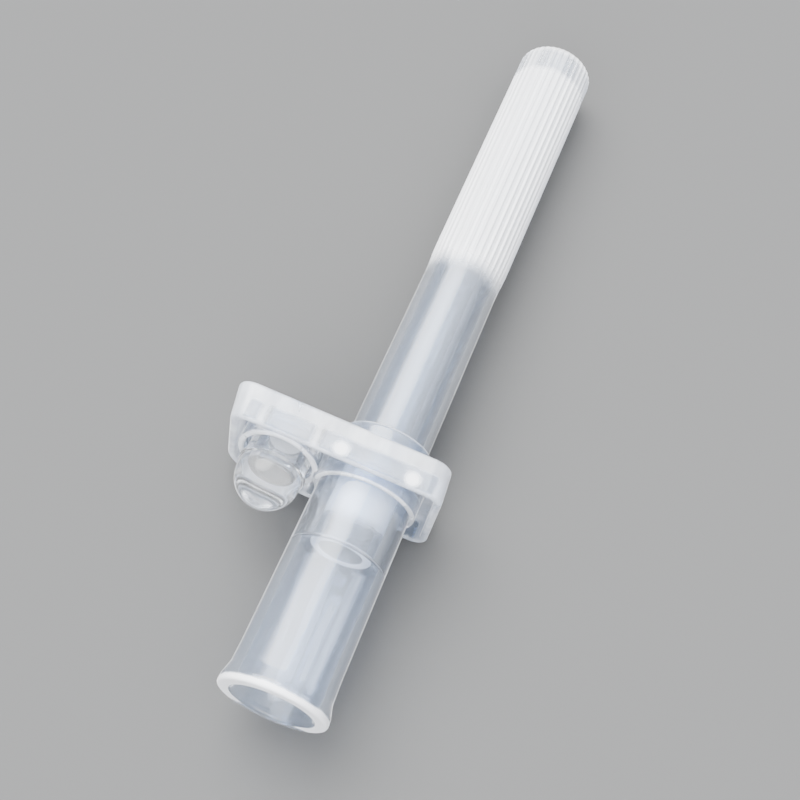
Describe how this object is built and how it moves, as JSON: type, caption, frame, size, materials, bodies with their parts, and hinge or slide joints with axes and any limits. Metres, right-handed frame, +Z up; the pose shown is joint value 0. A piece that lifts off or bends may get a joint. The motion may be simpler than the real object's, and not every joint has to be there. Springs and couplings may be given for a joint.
{
  "type": "saliva ejector tip",
  "caption": "Clear moulded suction tip: flared hose socket, cross plate with a domed vent plug on a side boss, hollow tip tube and a ribbed closed sheath.",
  "frame": {"origin": "centre of the footprint, on the surface that the part rests on when it lies on its plate edge and sheath end", "axes": "+Y runs along the part from the hose socket towards the sheath's closed end, +Z up, +X towards the plate's short end; the tube itself slopes down to the sheath's end by 2.59 degrees"},
  "size_m": [0.022, 0.0792, 0.013],
  "materials": {
    "clear_socket": "clear, glossy moulded plastic",
    "milky_plate": "slightly milky, glossy moulded plastic",
    "clear_tip": "clear moulded plastic",
    "filter_membrane": "matte porous membrane",
    "clear_plug": "glass-clear, polished moulded plastic",
    "hazy_sheath": "slightly hazy moulded plastic, satin on the fine ribs"
  },
  "bodies": {
    "fitting": {"hose_socket": "clear_socket", "cross_plate": "milky_plate", "tip_tube": "clear_tip", "vent_filter": "filter_membrane"},
    "vent_plug": {"vent_plug": "clear_plug"},
    "sheath": {"sheath": "hazy_sheath"}
  },
  "joints": [
    {"name": "sheath_pull", "type": "slide", "parent": "fitting", "child": "sheath", "axis": [0, 0.999, -0.0451], "range_m": [0, 0.03]},
    {"name": "plug_pull", "type": "slide", "parent": "fitting", "child": "vent_plug", "axis": [0, -0.9796, 0.2008], "range_m": [0, 0.004]}
  ]
}
